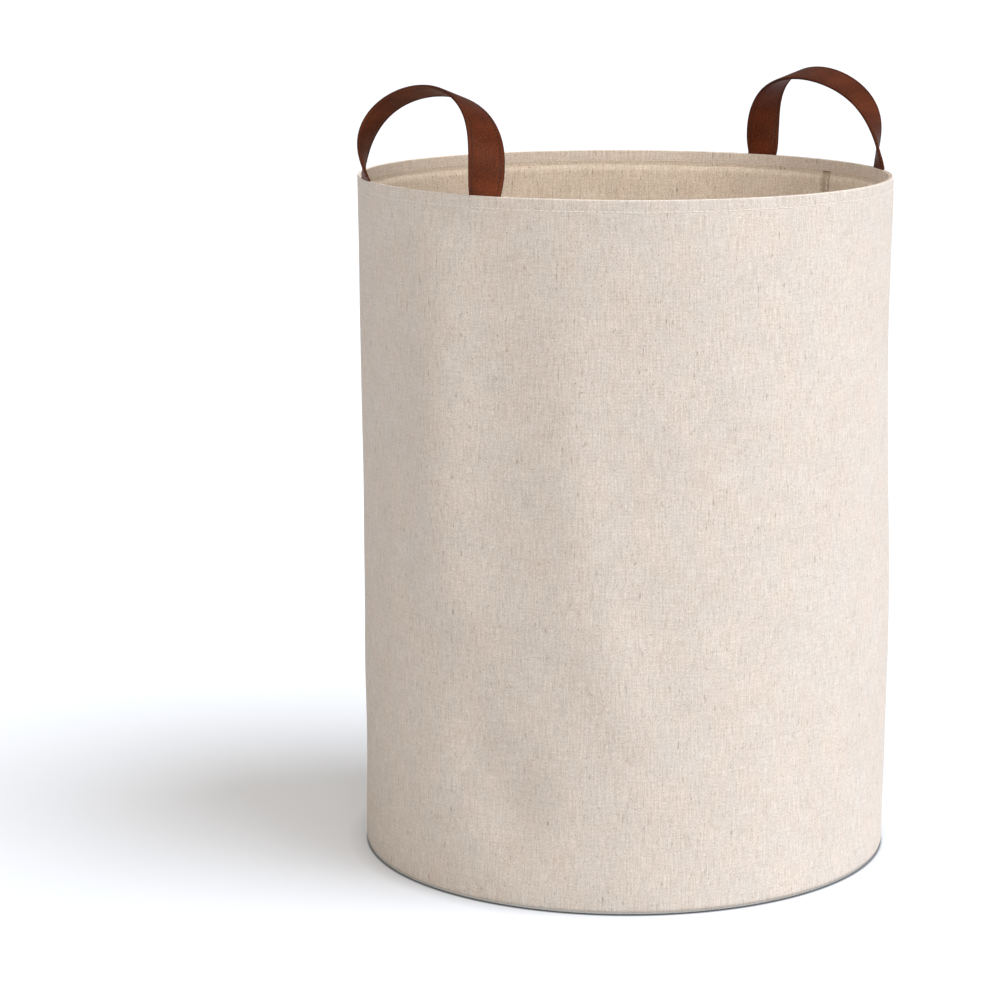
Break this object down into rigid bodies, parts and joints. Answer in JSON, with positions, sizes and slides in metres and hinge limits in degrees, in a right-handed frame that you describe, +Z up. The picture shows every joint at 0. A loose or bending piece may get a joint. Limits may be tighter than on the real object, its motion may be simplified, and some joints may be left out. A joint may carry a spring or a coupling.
{
  "type": "fabric storage bin",
  "caption": "Tall round canvas storage bin with a stiff wall, a stitched hem and folding leather loop handles at its rim.",
  "frame": {"origin": "middle of the flat underside, on the bin's axis", "axes": "+Z up along the bin's axis; the right loop handle is centred on +X and the left one stands 4.2 degrees round from -X towards -Y, as sewn; -Y is the front"},
  "size_m": [0.3514, 0.35, 0.514],
  "materials": {
    "canvas": "matte",
    "lining": "matte",
    "foam": "matte",
    "hoop_steel": "satin",
    "board": "matte",
    "thread": "matte",
    "leather": "satin",
    "tape": "matte",
    "leather_thread": "matte"
  },
  "bodies": {
    "root": {"outer_wall": "canvas", "wall_stiffener": "foam", "wall_lining": "lining", "hem_facing": "lining", "rim_hoop": "hoop_steel", "hoop_clip": "hoop_steel", "side_seam_tape": "lining", "base_cover": "canvas", "base_board": "board", "base_lining": "lining", "base_seam_binding": "lining", "hem_thread": "thread", "strap_tack_thread": "thread", "side_seam_thread": "thread", "base_seam_thread": "thread", "left_handle_front_end": "leather", "left_handle_rear_end": "leather", "right_handle_front_end": "leather", "right_handle_rear_end": "leather"},
    "left_handle": {"left_handle_face": "leather", "left_handle_core": "tape", "left_handle_backing": "leather", "left_handle_thread": "leather_thread"},
    "right_handle": {"right_handle_face": "leather", "right_handle_core": "tape", "right_handle_backing": "leather", "right_handle_thread": "leather_thread"}
  },
  "joints": [
    {"name": "left_handle_fold", "type": "hinge", "parent": "root", "child": "left_handle", "pos_m": [-0.16053, -0.01179, 0.462], "axis": [-0.0732, 0.9973, 0], "range_deg": [-90, 90], "stiffness_Nm_per_rad": 0.02},
    {"name": "right_handle_fold", "type": "hinge", "parent": "root", "child": "right_handle", "pos_m": [0.16096, 0, 0.462], "axis": [0, -1, 0], "range_deg": [-90, 90], "stiffness_Nm_per_rad": 0.02}
  ]
}
